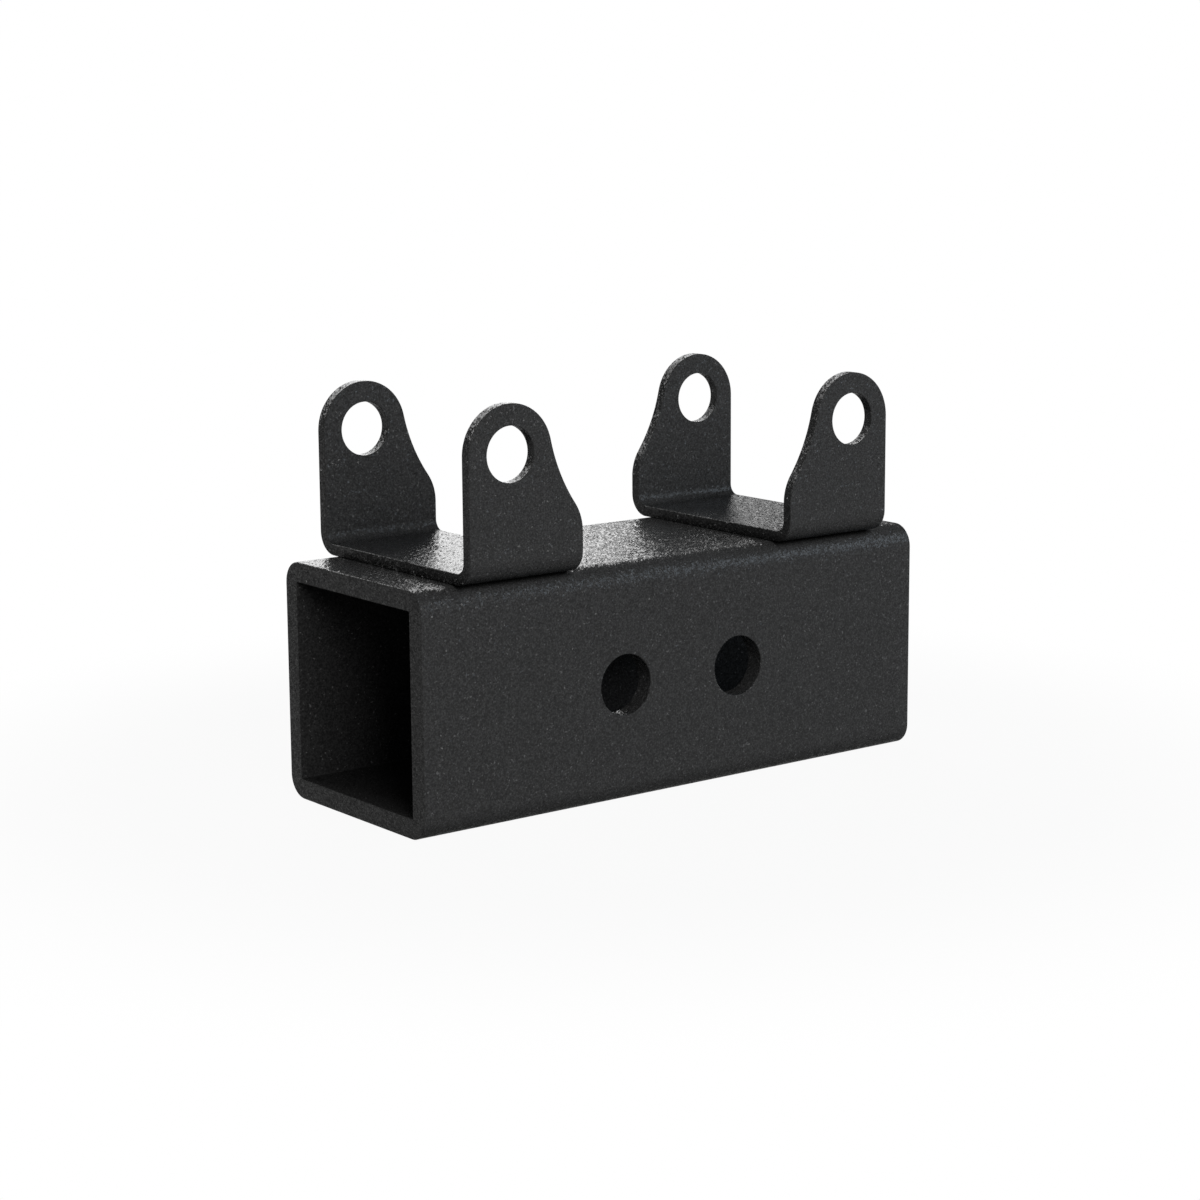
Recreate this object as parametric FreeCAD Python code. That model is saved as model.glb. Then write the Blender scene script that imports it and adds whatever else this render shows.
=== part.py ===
import FreeCAD
import Part
import math
import os

# Hitch receiver adapter: a square receiver tube with a pair of folded clevis brackets welded on its top.
# Millimetres. X runs along the tube, Y across it, Z up. The origin lies under the tube's middle, on the
# plane that its bottom face rests on. The brackets mirror each other about the tube's middle.

# Receiver tube
tube_size = 63.5  # outside, flat to flat
tube_length = 165.1
tube_wall = 5.4
tube_corner_radius = 6.0  # outside corner; the inside one has the same centre
pin_hole_diameter = 16.3  # takes a hitch pin of 5/8 in
pin_hole_spacing = 38.1  # centre to centre, about the tube's middle

# Clevis brackets, each folded from one piece of sheet
sheet_thickness = 3.0
bend_inner_radius = 3.0
bracket_width = 34.9  # along the tube
bracket_from_end = 12.7  # bracket's outer edge to the end of the tube
ear_hole_diameter = 14.3
ear_hole_height = 32.4  # centre above the tube's top
ear_top_radius = 12.7  # round top, about the hole's centre
waist_radius = 46.0  # hollow curve below the round top, on the side towards the tube's middle
shoulder_radius = 12.7  # full curve that ends the waist
shoulder_height = 11.0  # above the tube's top; the ear's edges are straight below it

# Bevel on the edges that the saw, the drill and the sheet cutter leave
edge_break = 0.15

# Sizes that follow from those above
tube_half = tube_size / 2
bracket_outer_x = tube_length / 2 - bracket_from_end
ear_inner_y = tube_half  # the ears' inner faces stand in line with the tube's sides
ear_outer_y = ear_inner_y + sheet_thickness
bend_outer_radius = bend_inner_radius + sheet_thickness
bracket_height = ear_hole_height + ear_top_radius

cutter_margin = 1.0  # how far a cutting tool reaches past what it cuts
sharp_angle = math.radians(30)  # faces that meet at more than this make an edge to be bevelled
along_x = FreeCAD.Vector(1, 0, 0)
along_y = FreeCAD.Vector(0, 1, 0)


def line(start, end):
    return Part.LineSegment(start, end).toShape()


def arc_about(centre, start, end):
    # The shorter way round from start to end.
    radius = (start - centre).Length
    outwards = ((start + end) * 0.5 - centre).normalize()
    return Part.Arc(start, centre + outwards * radius, end).toShape()


def cross_hole(diameter, x, z, half_span):
    # A round cutter along Y, right across the part.
    reach = half_span + cutter_margin
    return Part.makeCylinder(diameter / 2, 2 * reach, FreeCAD.Vector(x, -reach, z), along_y)


def normal_at(face, point):
    u, v = face.Surface.parameter(point)
    return face.normalAt(u, v)


def break_edges(solid):
    # Bevels each edge where two faces meet at an angle. Where one runs smoothly into the next, or a round
    # face closes on itself, the edge is left.
    sharp_edges = []
    for edge in solid.Edges:
        faces = solid.ancestorsOfType(edge, Part.Face)
        middle = edge.valueAt((edge.FirstParameter + edge.LastParameter) / 2)
        if normal_at(faces[0], middle).getAngle(normal_at(faces[-1], middle)) > sharp_angle:
            sharp_edges.append(edge)
    return solid.makeChamfer(edge_break, sharp_edges).Solids[0]


def rounded_bar(size, corner_radius, length):
    # A square bar about the tube's axis with its long edges rounded.
    corner = FreeCAD.Vector(-length / 2, -size / 2, tube_half - size / 2)
    bar = Part.makeBox(length, size, size, corner)
    long_edges = [edge for edge in bar.Edges if edge.Vertexes[0].X != edge.Vertexes[1].X]
    return bar.makeFillet(corner_radius, long_edges)


def receiver_tube():
    inner_size = tube_size - 2 * tube_wall
    inner_corner_radius = max(tube_corner_radius - tube_wall, edge_break)
    outside = rounded_bar(tube_size, tube_corner_radius, tube_length)
    inside = rounded_bar(inner_size, inner_corner_radius, tube_length + 2 * cutter_margin)
    tube = outside.cut(inside)
    for x in (-pin_hole_spacing / 2, pin_hole_spacing / 2):
        tube = tube.cut(cross_hole(pin_hole_diameter, x, tube_half, tube_half))
    return break_edges(tube.Solids[0])


def trough(half_width, bottom, bend_radius):
    # A block as long as the bracket is wide, its two lower corners rounded where the sheet bends.
    def point(y, z):
        return FreeCAD.Vector(0, y, tube_size + z)

    flat_half = half_width - bend_radius
    bend_top = bottom + bend_radius
    top = bracket_height + cutter_margin
    profile = Part.Wire([
        line(point(-half_width, top), point(-half_width, bend_top)),
        arc_about(point(-flat_half, bend_top), point(-half_width, bend_top), point(-flat_half, bottom)),
        line(point(-flat_half, bottom), point(flat_half, bottom)),
        arc_about(point(flat_half, bend_top), point(flat_half, bottom), point(half_width, bend_top)),
        line(point(half_width, bend_top), point(half_width, top)),
        line(point(half_width, top), point(-half_width, top)),
    ])
    return Part.Face(profile).extrude(along_x * bracket_width)


def waist_centre(top_centre, shoulder_centre):
    # The waist's arc touches the round top and the shoulder from outside, towards the tube's middle.
    from_top = ear_top_radius + waist_radius
    from_shoulder = shoulder_radius + waist_radius
    apart = (shoulder_centre - top_centre).Length
    forward = (apart**2 + from_top**2 - from_shoulder**2) / (2 * apart)
    sideways = math.sqrt(from_top**2 - forward**2)
    direction = (shoulder_centre - top_centre).normalize()
    outwards = FreeCAD.Vector(-direction.z, 0, direction.x)
    return top_centre + direction * forward + outwards * sideways


def ear_outline(y):
    # Both ears seen from the side: a straight edge at x = 0, a round top, then waist and shoulder.
    def point(x, z):
        return FreeCAD.Vector(x, y, tube_size + z)

    top_centre = point(ear_top_radius, ear_hole_height)
    shoulder_centre = point(bracket_width - shoulder_radius, shoulder_height)
    hollow_centre = waist_centre(top_centre, shoulder_centre)
    top_start = point(0, ear_hole_height)
    waist_start = hollow_centre + (top_centre - hollow_centre).normalize() * waist_radius
    waist_end = hollow_centre + (shoulder_centre - hollow_centre).normalize() * waist_radius
    shoulder_end = point(bracket_width, shoulder_height)
    return Part.Wire([
        line(point(0, 0), top_start),
        arc_about(top_centre, top_start, waist_start),
        arc_about(hollow_centre, waist_start, waist_end),
        arc_about(shoulder_centre, waist_end, shoulder_end),
        line(shoulder_end, point(bracket_width, 0)),
        line(point(bracket_width, 0), point(0, 0)),
    ])


def clevis_bracket():
    # Drawn for the tube's left end, with its outer edge at x = 0.
    outside = trough(ear_outer_y, 0, bend_outer_radius)
    inside = trough(ear_inner_y, sheet_thickness, bend_inner_radius)
    reach = ear_outer_y + cutter_margin
    ears = Part.Face(ear_outline(-reach)).extrude(along_y * 2 * reach)
    hole = cross_hole(ear_hole_diameter, ear_top_radius, tube_size + ear_hole_height, ear_outer_y)
    bracket = outside.cut(inside).common(ears).cut(hole)
    return break_edges(bracket.removeSplitter().Solids[0])


def left_clevis_bracket():
    return clevis_bracket().translated(along_x * -bracket_outer_x)


def right_clevis_bracket():
    return left_clevis_bracket().mirror(FreeCAD.Vector(0, 0, 0), along_x)


os.makedirs("parts", exist_ok=True)
for make_piece in (receiver_tube, left_clevis_bracket, right_clevis_bracket):
    piece = make_piece()
    piece.exportStep(f"parts/{make_piece.__name__}.step")
    print(f"{make_piece.__name__}: {piece.ShapeType}, valid {piece.isValid()}, {piece.Volume / 1000:.2f} cm3")
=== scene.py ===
import math

import bpy
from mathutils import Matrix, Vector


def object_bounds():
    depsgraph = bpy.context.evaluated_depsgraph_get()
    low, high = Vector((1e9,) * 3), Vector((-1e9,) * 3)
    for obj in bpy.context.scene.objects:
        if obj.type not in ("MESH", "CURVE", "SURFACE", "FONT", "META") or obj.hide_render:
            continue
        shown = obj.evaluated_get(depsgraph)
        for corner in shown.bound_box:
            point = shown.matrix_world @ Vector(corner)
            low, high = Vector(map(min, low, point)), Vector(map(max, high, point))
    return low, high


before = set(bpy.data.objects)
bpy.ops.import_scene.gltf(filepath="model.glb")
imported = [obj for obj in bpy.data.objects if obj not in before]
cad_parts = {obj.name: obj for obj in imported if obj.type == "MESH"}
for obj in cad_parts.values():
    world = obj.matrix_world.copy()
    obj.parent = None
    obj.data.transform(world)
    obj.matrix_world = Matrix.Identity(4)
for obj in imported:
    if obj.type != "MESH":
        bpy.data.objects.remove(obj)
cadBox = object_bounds()
scene = bpy.context.scene
scene.view_settings.view_transform = "Standard"
print("frame: nodes", sorted(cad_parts))


class Wire:  # an output socket that takes part in sums
    def __init__(self, shader, socket):
        self.shader = shader
        self.socket = socket

    def twin(self, output):  # another output of the same node
        return Wire(self.shader, self.socket.node.outputs[output])

    def sums(self, operation, first, second):
        return self.shader.node("ShaderNodeMath", {"operation": operation}, {0: first, 1: second})

    def __add__(self, other):
        return self.sums("ADD", self, other)

    def __radd__(self, other):
        return self.sums("ADD", other, self)

    def __sub__(self, other):
        return self.sums("SUBTRACT", self, other)

    def __rsub__(self, other):
        return self.sums("SUBTRACT", other, self)

    def __mul__(self, other):
        return self.sums("MULTIPLY", self, other)

    def __rmul__(self, other):
        return self.sums("MULTIPLY", other, self)


class Shader:  # a material's or the world's node tree
    def __init__(self, owner):
        owner.use_nodes = True
        self.tree = owner.node_tree
        self.tree.nodes.clear()

    def node(self, kind, settings, sockets, output=0):
        made = self.tree.nodes.new(kind)
        for name, value in settings.items():
            setattr(made, name, value)
        for name, value in sockets.items():
            if isinstance(value, Wire):
                self.tree.links.new(value.socket, made.inputs[name])
            else:
                made.inputs[name].default_value = value
        return Wire(self, made.outputs[output]) if made.outputs else None

    def span(self, value, fromLow, fromHigh, toLow, toHigh):  # one range carried smoothly onto another
        return self.node("ShaderNodeMapRange", {"interpolation_type": "SMOOTHSTEP"}, {
            "Value": value,
            "From Min": fromLow,
            "From Max": fromHigh,
            "To Min": toLow,
            "To Max": toHigh,
        })


# black powder coat, all over the tube and the brackets, with painted shade in two places: a matte, darker
# copy of the coat inside the tube, and a near-black tone in the crevice where a bracket's foot meets the
# tube
coat = {
    "colour": (0.0205, 0.0205, 0.0205, 1),
    "grainColour": (0.0400, 0.0400, 0.0400, 1),
    "speckColour": (0.090, 0.090, 0.091, 1),
    "roughness": 0.26,
    "roughnessSwing": 0.16,  # from the smoothest grain to the roughest
    "specularLevel": 0.14,
    "grain": {"size": 0.00045, "detail": 2, "roughness": 0.6},  # grains of the sandy skin; sizes in metres
    "clump": {"size": 0.0015, "detail": 1, "roughness": 0.5},  # clumps of grains
    "speck": {"size": 0.0009, "detail": 2, "roughness": 0.7},  # paler specks
    "peel": {"size": 0.0060, "detail": 1, "roughness": 0.5},  # slow waves of the coat
    "grainSpan": (0.35, 0.65),  # values of the noise between which the grain's colour comes in
    "speckSpan": (0.64, 0.74),  # the same for the specks
    "cellSmoothness": 0.6,  # how softly one grain's cell runs into the next
    "facet": 0.00036,  # metres across one facet of the skin
    "facetLength": 3.5,  # times as long as it is across
    "facetLay": -39,  # degrees from +Y that its length is turned about the upright
    "facetTilt": 0.15,  # how far most facets lean at most, as a slope
    "steepShare": 0.30,  # share of the facets that lean farther
    "steepGain": 1.2,  # how many times as far again the steepest lean
    "height": 0.00004,  # metres, of the grain
    "cellShare": 0.3,  # heights of the others, as shares of the grain's
    "clumpShare": 0.4,
    "peelShare": 0.9,
    "speckShare": 0.2,
}
# painted shade inside the tube: a matte, darker copy of the coat on its inner walls
inside = {
    "middle": (0, 0, 0.03175),  # metres, on the tube's axis
    "half": 0.02651,  # metres from the axis to just behind the inner walls
    "blend": 0.00003,  # metres to either side of that, where it fades out
    "colour": (0.015, 0.015, 0.015, 1),
    "grainColour": (0.033, 0.033, 0.033, 1),
    "speckColour": (0.105, 0.105, 0.105, 1),
    "roughness": 1.0,
    "specularLevel": 0.0,
}
# painted shade: a near-black tone put into the coat's colour in the crevice where a bracket's foot meets
# the tube
creviceShade = {
    "along": (0.0345, 0.0350, 0.0698, 0.0703),  # metres from the tube's middle: in and out at a foot's ends
    "rise": (0.0616, 0.0630, 0.0637, 0.0662),  # metres up: fades in on the tube's corner, out on the bend
    "colour": (0.003, 0.003, 0.003, 1),
    "share": 0.82,  # how far it takes the coat's place
}
middleValue = 0.5  # of a noise or a draw, which run from 0 to 1


def noise(shader, place, size, detail, roughness):
    sockets = {"Vector": place, "Scale": 1 / size, "Detail": detail, "Roughness": roughness}
    return shader.node("ShaderNodeTexNoise", {}, sockets, "Fac")


def mixColours(shader, factor, first, second):
    sockets = {0: factor, 6: first, 7: second}  # by number: the Mix node repeats its sockets' names
    return shader.node("ShaderNodeMix", {"data_type": "RGBA"}, sockets, 2)


def vectorSums(shader, operation, first, second=(0, 0, 0)):
    return shader.node("ShaderNodeVectorMath", {"operation": operation}, {0: first, 1: second})


def insideTube(shader, place):  # 1 on the tube's inner walls, 0 elsewhere
    away = vectorSums(shader, "ABSOLUTE", vectorSums(shader, "SUBTRACT", place, inside["middle"]))
    across = shader.node("ShaderNodeSeparateXYZ", {}, {0: away}, "Y")
    farthest = across.sums("MAXIMUM", across, across.twin("Z"))
    full = inside["half"] - inside["blend"]
    none = inside["half"] + inside["blend"]
    return shader.span(farthest, full, none, 1.0, 0.0)


def inBand(shader, value, low, lowFull, highFull, high):  # 1 between the middle two, 0 outside the others
    return shader.span(value, low, lowFull, 0.0, 1.0) * shader.span(value, highFull, high, 1.0, 0.0)


# mask of the painted shade in the crevice under each bracket's foot
def shadeUnderFoot(shader, place):  # 1 where a bracket's foot meets the tube, 0 elsewhere
    away = vectorSums(shader, "ABSOLUTE", place)
    along = shader.node("ShaderNodeSeparateXYZ", {}, {0: away}, "X")
    return inBand(shader, along, *creviceShade["along"]) * inBand(shader, along.twin("Z"), *creviceShade["rise"])


def facetNormal(shader, place):  # each small cell of the skin leans its own way
    laid = shader.node("ShaderNodeMapping", {"vector_type": "TEXTURE"}, {
        "Vector": place,
        "Rotation": (0, 0, math.radians(coat["facetLay"])),
        "Scale": (1, coat["facetLength"], 1),
    })
    sockets = {"Vector": laid, "Scale": 1 / coat["facet"]}
    chance = shader.node("ShaderNodeTexVoronoi", {"feature": "F1"}, sockets, "Color")
    draw = shader.node("ShaderNodeTexWhiteNoise", {}, {"Vector": chance}, "Value")
    steep = shader.span(draw, 1 - coat["steepShare"], 1.0, 0.0, coat["steepGain"])
    centred = vectorSums(shader, "SUBTRACT", chance, 3 * (middleValue,))
    tilt = coat["facetTilt"] / middleValue * (1 + steep)
    lean = shader.node("ShaderNodeVectorMath", {"operation": "SCALE"}, {0: centred, "Scale": tilt})
    normal = shader.node("ShaderNodeNewGeometry", {}, {}, "Normal")
    return vectorSums(shader, "NORMALIZE", vectorSums(shader, "ADD", normal, lean))


def makePowderCoat():
    material = bpy.data.materials.new("blackPowderCoat")
    shader = Shader(material)
    place = shader.node("ShaderNodeTexCoord", {}, {}, "Object")
    grain = noise(shader, place, **coat["grain"])
    cells = shader.node("ShaderNodeTexVoronoi", {"feature": "SMOOTH_F1"}, {
        "Vector": place,
        "Scale": 1 / coat["grain"]["size"],
        "Smoothness": coat["cellSmoothness"],
    }, "Distance")
    clump = noise(shader, place, **coat["clump"])
    peel = noise(shader, place, **coat["peel"])
    speck = shader.span(noise(shader, place, **coat["speck"]), *coat["speckSpan"], 0.0, 1.0)
    patch = shader.span(grain, *coat["grainSpan"], 0.0, 1.0)
    height = (grain + coat["cellShare"] * cells + coat["clumpShare"] * clump
              + coat["peelShare"] * peel + coat["speckShare"] * speck)
    bump = shader.node("ShaderNodeBump", {}, {
        "Strength": 1.0,
        "Distance": coat["height"],
        "Height": height,
        "Normal": facetNormal(shader, place),
    })
    skin = mixColours(shader, patch, coat["colour"], coat["grainColour"])
    specked = mixColours(shader, speck, skin, coat["speckColour"])
    # painted shade, mixed into the coat's colour under each bracket's foot
    shaded = creviceShade["share"] * shadeUnderFoot(shader, place)
    skinSurface = shader.node("ShaderNodeBsdfPrincipled", {}, {
        "Base Color": mixColours(shader, shaded, specked, creviceShade["colour"]),
        "Roughness": coat["roughness"] + coat["roughnessSwing"] * (grain - middleValue),
        "Specular IOR Level": coat["specularLevel"],
        "Normal": bump,
    })
    # painted shade: the matte, darker copy of the coat that takes over inside the tube
    shadedInsideColour = mixColours(shader, patch, inside["colour"], inside["grainColour"])
    shadedInsideSurface = shader.node("ShaderNodeBsdfPrincipled", {}, {
        "Base Color": mixColours(shader, speck, shadedInsideColour, inside["speckColour"]),
        "Roughness": inside["roughness"],
        "Specular IOR Level": inside["specularLevel"],
        "Normal": bump,
    })
    shadedInsideShare = insideTube(shader, place)
    surface = shader.node("ShaderNodeMixShader", {}, {0: shadedInsideShare, 1: skinSurface, 2: shadedInsideSurface})
    shader.node("ShaderNodeOutputMaterial", {}, {"Surface": surface})
    return material


powderCoat = makePowderCoat()
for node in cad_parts.values():
    node.data.materials.clear()
    node.data.materials.append(powderCoat)
print("finish: black powder coat on", len(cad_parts), "nodes")


# pale round board on the floor: white in the picture, with the object's faint shadow on it; the coat's
# reflections look through it, into the room
board = {
    "middle": (0.10, -0.12),  # metres, set out towards the front right
    "radius": 0.52,
    "sides": 96,
    "gap": 0.0002,  # metres below what rests on it
    "colour": (0.40, 0.40, 0.40, 1),
    "lift": 0.94,  # share of plain white close to the object
    "shadowReach": (0.12, 0.24),  # metres from the object's middle: the lift grows to full between these
}
white = (1, 1, 1, 1)


def raysSeen(shader):  # 1 for rays from the camera, and 1 for rays mirrored or passed on by glass
    isCamera = shader.node("ShaderNodeLightPath", {}, {}, "Is Camera Ray")
    return isCamera, isCamera.twin("Is Glossy Ray") + isCamera.twin("Is Transmission Ray")


def makeFloor():
    material = bpy.data.materials.new("paleBoard")
    shader = Shader(material)
    place = shader.node("ShaderNodeTexCoord", {}, {}, "Object")
    away = shader.node("ShaderNodeVectorMath", {"operation": "LENGTH"}, {0: place}, "Value")
    lift = shader.span(away, *board["shadowReach"], board["lift"], 1.0)
    isCamera, mirrored = raysSeen(shader)
    lit = shader.node("ShaderNodeBsdfDiffuse", {}, {"Color": board["colour"]})
    plain = shader.node("ShaderNodeEmission", {}, {"Color": white, "Strength": 1.0})
    clear = shader.node("ShaderNodeBsdfTransparent", {}, {})
    seen = shader.node("ShaderNodeMixShader", {}, {0: lift * isCamera, 1: lit, 2: plain})
    surface = shader.node("ShaderNodeMixShader", {}, {0: mirrored, 1: seen, 2: clear})
    shader.node("ShaderNodeOutputMaterial", {}, {"Surface": surface})
    turns = [2 * math.pi * side / board["sides"] for side in range(board["sides"])]
    middleX, middleY = board["middle"]
    radius = board["radius"]
    rim = [(middleX + radius * math.cos(turn), middleY + radius * math.sin(turn), 0) for turn in turns]
    mesh = bpy.data.meshes.new("floor")
    mesh.from_pydata(rim, [], [range(board["sides"])])
    mesh.materials.append(material)
    floor = bpy.data.objects.new("floor", mesh)
    floor.location.z = cadBox[0][2] - board["gap"]
    scene.collection.objects.link(floor)


makeFloor()
print("stage: floor")


# room: white in the picture, and a soft dark grey in its light; the coat's reflections see its lower half
# paler, as they would see the floor
room = {
    "tone": 0.08,
    "floorShare": 0.43,  # how much of the picture's white the coat's reflections see below the horizon
    "horizon": (-0.06, 0.04),  # rises of the direction between which that ends
    "nadir": (-0.80, -0.25),  # rises between which it fades away towards straight down
}


def makeRoom():
    world = bpy.data.worlds.new("room")
    scene.world = world
    shader = Shader(world)
    way = shader.node("ShaderNodeTexCoord", {}, {}, "Generated")
    rise = shader.node("ShaderNodeSeparateXYZ", {}, {0: way}, "Z")
    floorShare = (shader.span(rise, *room["horizon"], room["floorShare"], 0.0)
                  * shader.span(rise, *room["nadir"], 0.0, 1.0))
    isCamera, mirrored = raysSeen(shader)
    paleness = isCamera + floorShare * mirrored
    strength = room["tone"] + (1 - room["tone"]) * paleness
    background = shader.node("ShaderNodeBackground", {}, {"Color": white, "Strength": strength})
    shader.node("ShaderNodeOutputWorld", {}, {"Surface": background})


makeRoom()

# softboxes: way is the compass angle from straight behind (+Y) towards +X, lift the angle above the floor,
# both in degrees; distance and size are metres, and tone is the brightness of its face
softboxes = {
    "backBox": {
        "way": 11, "lift": 26, "distance": 1.6,
        "size": (1.60, 1.30), "tone": 3.2, "colour": (1, 1, 1),
    },
    "backEdgeBox": {
        "way": 41, "lift": 26, "distance": 1.6,
        "size": (0.17, 1.30), "tone": 0.6, "colour": (1, 1, 1),
    },
    "frontBox": {
        "way": 190, "lift": 25, "distance": 1.5,
        "size": (1.00, 0.60), "tone": 9.4, "colour": (1, 1, 1),
    },
    "rightBox": {
        "way": 120, "lift": 26, "distance": 0.8,
        "size": (0.42, 0.32), "tone": 3.8, "colour": (0.76, 0.88, 1),
    },
}


def makeSoftbox(name, box):
    way = math.radians(box["way"])
    lift = math.radians(box["lift"])
    width, height = box["size"]
    lamp = bpy.data.lights.new(name, "AREA")
    lamp.shape = "RECTANGLE"
    lamp.size = width
    lamp.size_y = height
    lamp.energy = box["tone"] * math.pi * width * height  # watts for that brightness of its face
    lamp.color = box["colour"]
    light = bpy.data.objects.new(name, lamp)
    light.location = (
        box["distance"] * math.sin(way) * math.cos(lift),
        box["distance"] * math.cos(way) * math.cos(lift),
        box["distance"] * math.sin(lift),
    )
    light.rotation_euler = (math.pi / 2 - lift, 0, math.pi - way)  # its face towards the origin
    light.visible_camera = False
    scene.collection.objects.link(light)


for name, box in softboxes.items():
    makeSoftbox(name, box)
print("light: room and", len(softboxes), "softboxes")


# the photograph's own view
view = {
    "place": (-0.44936, -0.58640, 0.18692),
    "turn": 39.3944,  # degrees from +Y towards +X
    "tip": 10.4593,  # degrees below level
    "focal": 2752.97,  # pixels of a frame 1200 wide
    "centre": (700.97, 588.21),  # where the lens's axis meets that frame
    "frame": 1200,
    "sensor": 36.0,  # millimetres
    "nearest": 0.01,  # metres from the lens to what it starts to show
}


def makeCamera():
    lens = bpy.data.cameras.new("photoView")
    lens.sensor_width = view["sensor"]
    lens.lens = view["focal"] / view["frame"] * view["sensor"]
    lens.shift_x = 0.5 - view["centre"][0] / view["frame"]
    lens.shift_y = view["centre"][1] / view["frame"] - 0.5
    lens.clip_start = view["nearest"]
    camera = bpy.data.objects.new("photoView", lens)
    camera.location = view["place"]
    camera.rotation_euler = (math.radians(90 - view["tip"]), 0, math.radians(-view["turn"]))
    scene.collection.objects.link(camera)
    scene.camera = camera


makeCamera()
print("camera: photograph's view")
